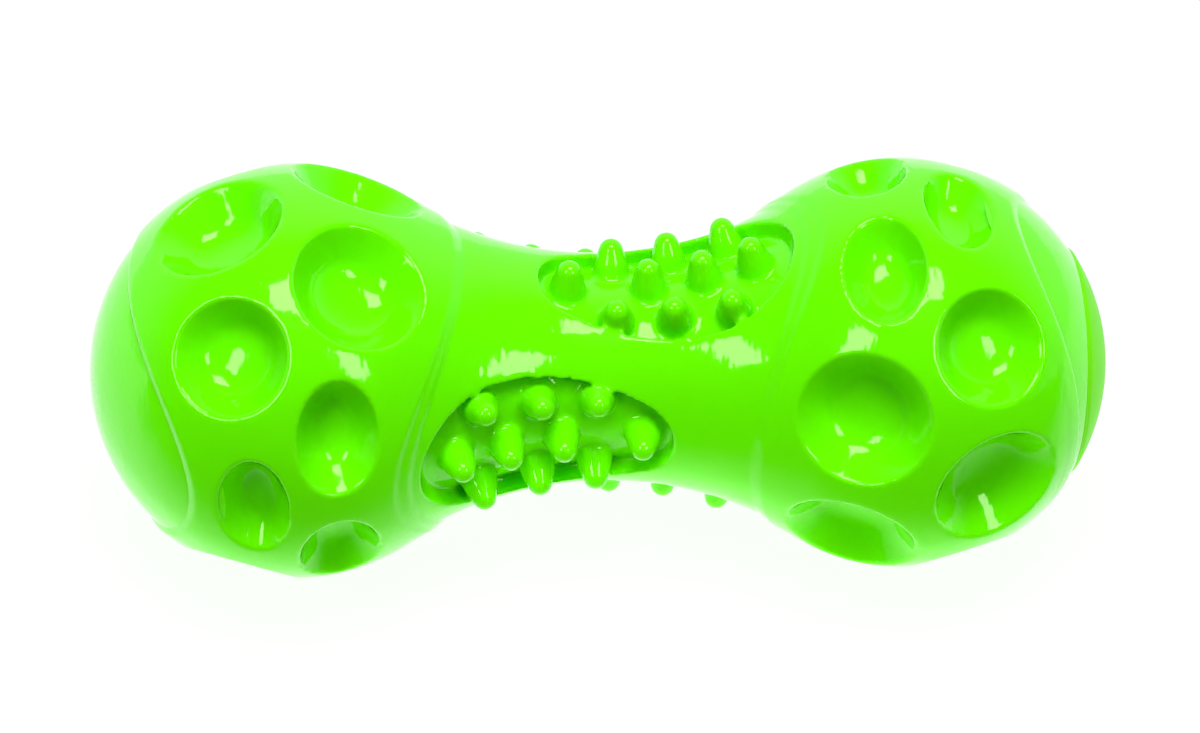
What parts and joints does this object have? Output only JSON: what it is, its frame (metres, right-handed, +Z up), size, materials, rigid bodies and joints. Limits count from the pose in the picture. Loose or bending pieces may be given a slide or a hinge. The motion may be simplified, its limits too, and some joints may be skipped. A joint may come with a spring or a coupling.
{
  "type": "rubber chew toy",
  "caption": "Dumbbell-shaped rubber chew toy with dimpled balls, a waisted neck with recessed nub fields, smooth bonded end caps and a squeaker behind a round end plug.",
  "frame": {"origin": "on the floor under the middle of the neck, at the bottom centre of the toy's box", "axes": "+X along the toy towards the end with the plug, +Z up"},
  "size_m": [0.1793, 0.073, 0.073],
  "materials": {
    "body_rubber": "gloss",
    "cap_rubber": "gloss",
    "plug_rubber": "satin",
    "cup_plastic": "gloss",
    "seat_plastic": "satin",
    "reed_plastic": "gloss"
  },
  "bodies": {
    "root": {"body": "body_rubber", "left_end_cap": "cap_rubber", "right_end_cap": "cap_rubber", "end_plug": "plug_rubber", "squeaker_cup": "cup_plastic", "squeaker_reed_seat": "seat_plastic", "squeaker_reed": "reed_plastic"}
  },
  "joints": []
}
